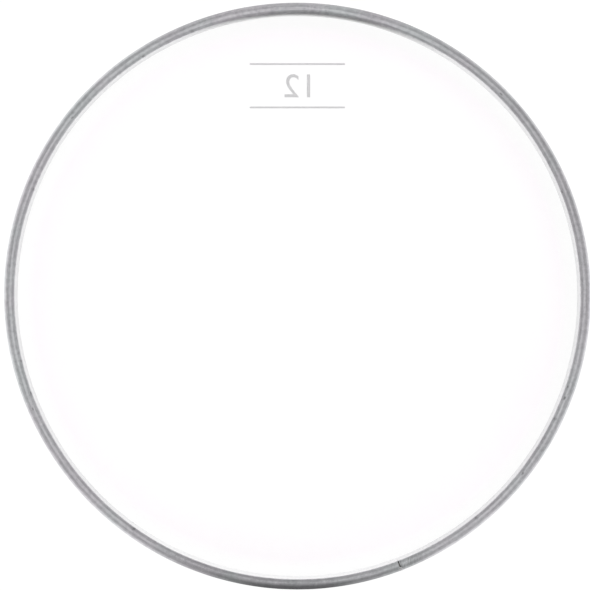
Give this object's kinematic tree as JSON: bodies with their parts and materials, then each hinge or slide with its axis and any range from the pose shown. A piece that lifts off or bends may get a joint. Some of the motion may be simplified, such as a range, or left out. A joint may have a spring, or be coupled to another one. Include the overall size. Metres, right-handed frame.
{
  "type": "drum head",
  "caption": "Clear film drum head: a flat playing face with a formed collar, its skirt cast in resin in a round metal channel hoop that slips over a drum shell.",
  "frame": {"origin": "centre of the playing face, which the head lies on", "axes": "+Z along the head's axis, out of the hoop's closed side, where the drum shell goes in; +Y towards the print's place; the hoop's butt joint is near -Y"},
  "size_m": [0.319, 0.319, 0.016],
  "materials": {
    "film": "clear polyester film, glossy, with light handling marks",
    "hoop": "mill finish, drawn lengthwise, lightly scuffed",
    "resin": "dark cast resin, satin",
    "weld": "weld, filed flush"
  },
  "bodies": {
    "root": {"film": "film", "hoop_channel": "hoop", "resin_fill": "resin", "seam_weld": "weld"}
  },
  "joints": []
}
